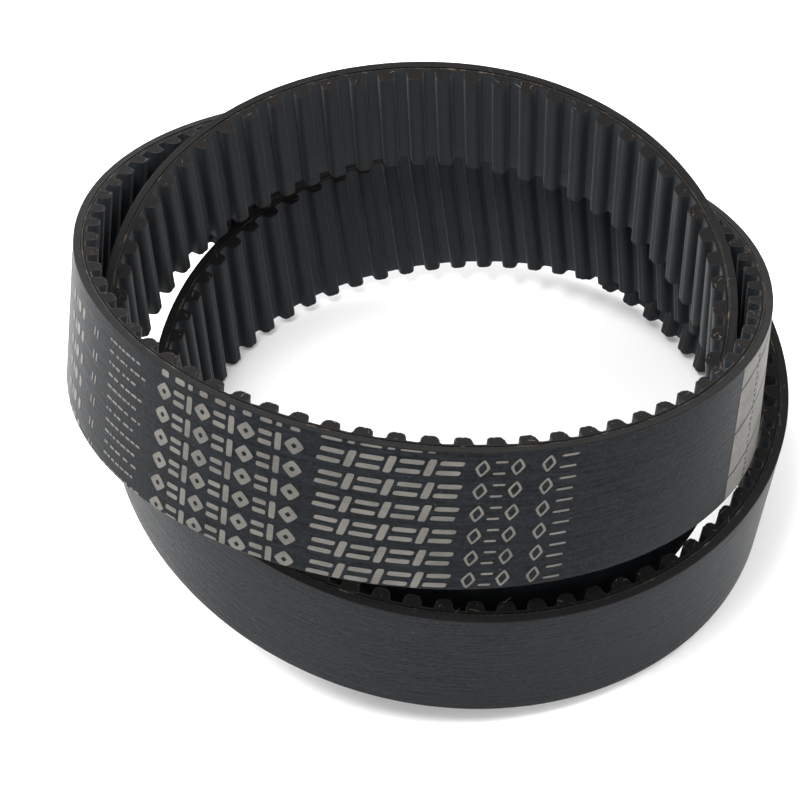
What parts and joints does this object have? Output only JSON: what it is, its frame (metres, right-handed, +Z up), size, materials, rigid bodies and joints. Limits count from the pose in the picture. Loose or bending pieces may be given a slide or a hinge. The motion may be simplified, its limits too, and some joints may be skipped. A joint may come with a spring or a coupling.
{
  "type": "timing belt",
  "caption": "Endless rubber timing belt with rounded teeth inside and a smooth printed back, coiled in overlapping turns and standing on its edge.",
  "frame": {"origin": "middle of the coiled belt's box, on the surface it stands on", "axes": "+Z up, across the belt's width, and the printed front of the coil faces -Y"},
  "size_m": [0.0722, 0.0716, 0.0398],
  "materials": {
    "backing_rubber": "ground matt black",
    "tensile_cord": "treated glass cord",
    "edge_cord": "cut glass cord",
    "tooth_rubber": "moulded matt black",
    "tooth_facing": "rubbered woven nylon"
  },
  "bodies": {
    "root": {"backing_rubber": "backing_rubber", "tensile_cord_layer": "tensile_cord", "upper_edge_cord": "edge_cord", "lower_edge_cord": "edge_cord", "tooth_rubber": "tooth_rubber", "tooth_facing_fabric": "tooth_facing"}
  },
  "joints": []
}
